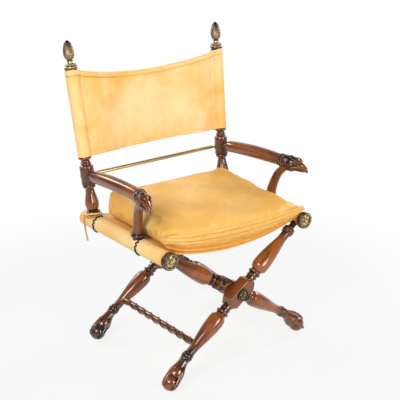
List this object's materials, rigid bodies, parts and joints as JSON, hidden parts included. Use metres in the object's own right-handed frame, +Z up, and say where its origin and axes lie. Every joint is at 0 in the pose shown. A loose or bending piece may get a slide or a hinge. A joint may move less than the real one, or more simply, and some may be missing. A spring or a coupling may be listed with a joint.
{
  "type": "directors chair",
  "caption": "Folding campaign-style directors chair with turned scissor legs on claw feet, bird-head arms, finial posts, leather slings and a loose seat cushion.",
  "frame": {"origin": "on the floor under the middle of the chair's bounding box, the lace tail left out", "axes": "+Z up, -Y towards the front of the chair, +X to the right of the picture's frame (the chair's left-hand rail in the picture is at -X)"},
  "size_m": [0.6318, 0.5505, 0.9945],
  "materials": {
    "mahogany": "polished red-brown turned wood",
    "leather": "tan leather with stitched hems",
    "cushion_leather": "tan leather cover over a soft filling, weighed as stuffed fabric",
    "brass": "antique brass",
    "steel": "plain steel"
  },
  "bodies": {
    "left_side": {"left_rail": "mahogany", "left_pivot_rod": "steel", "left_rail_cap": "mahogany", "left_rail_rosette": "brass", "left_rail_cover": "leather", "left_post": "mahogany", "left_back_sleeve": "leather", "left_finial_crown": "brass", "left_finial": "brass", "left_arm": "mahogany", "left_arm_head": "mahogany", "left_arm_support": "mahogany", "left_rod_stud": "brass", "seat_sling": "leather", "back_sling": "leather", "lace_loop": "leather", "lace_tail": "leather"},
    "inner_legs": {"inner_front_leg": "mahogany", "inner_rear_leg": "mahogany", "inner_stretcher": "mahogany"},
    "outer_legs": {"outer_front_leg": "mahogany", "outer_rear_leg": "mahogany", "outer_stretcher": "mahogany", "front_pivot_bolt": "steel", "front_pivot_washer": "steel", "front_pivot_nut": "steel", "front_hub_rosette": "brass", "rear_pivot_bolt": "steel", "rear_pivot_washer": "steel", "rear_pivot_nut": "steel", "rear_hub_rosette": "brass"},
    "right_side": {"right_rail": "mahogany", "right_pivot_rod": "steel", "right_rail_cap": "mahogany", "right_rail_rosette": "brass", "right_rail_cover": "leather", "right_post": "mahogany", "right_back_sleeve": "leather", "right_finial_crown": "brass", "right_finial": "brass", "right_arm": "mahogany", "right_arm_head": "mahogany", "right_arm_support": "mahogany", "right_rod_stud": "brass"},
    "rod": {"back_rod": "brass"},
    "cushion": {"seat_cushion": "cushion_leather"}
  },
  "joints": [
    {"name": "fold", "type": "hinge", "parent": "left_side", "child": "inner_legs", "pos_m": [-0.27, -0.04439, 0.417], "axis": [0, 1, 0], "range_deg": [0, 42.76], "deforming": ["seat_sling", "back_sling", "seat_cushion"]},
    {"name": "outer_fold", "type": "hinge", "parent": "inner_legs", "child": "outer_legs", "pos_m": [0, -0.04439, 0.2355], "axis": [0, 1, 0], "range_deg": [-85.52, 0]},
    {"name": "right_rail_turn", "type": "hinge", "parent": "outer_legs", "child": "right_side", "pos_m": [0.27, -0.04439, 0.417], "axis": [0, 1, 0], "range_deg": [0, 42.76]},
    {"name": "rod_swing", "type": "hinge", "parent": "right_side", "child": "rod", "pos_m": [0.27508, 0.23065, 0.55943], "axis": [0, 0.99, -0.1409], "range_deg": [0, 90]},
    {"name": "cushion_lift", "type": "slide", "parent": "left_side", "child": "cushion", "axis": [0, 0, 1], "range_m": [0, 0.6], "deforming": ["seat_cushion"]}
  ],
  "couplings": [
    {"joint": "outer_fold", "follows": "fold", "ratio": -2},
    {"joint": "right_rail_turn", "follows": "fold", "ratio": 1},
    {"joint": "rod_swing", "follows": "fold", "ratio": 2.1}
  ]
}
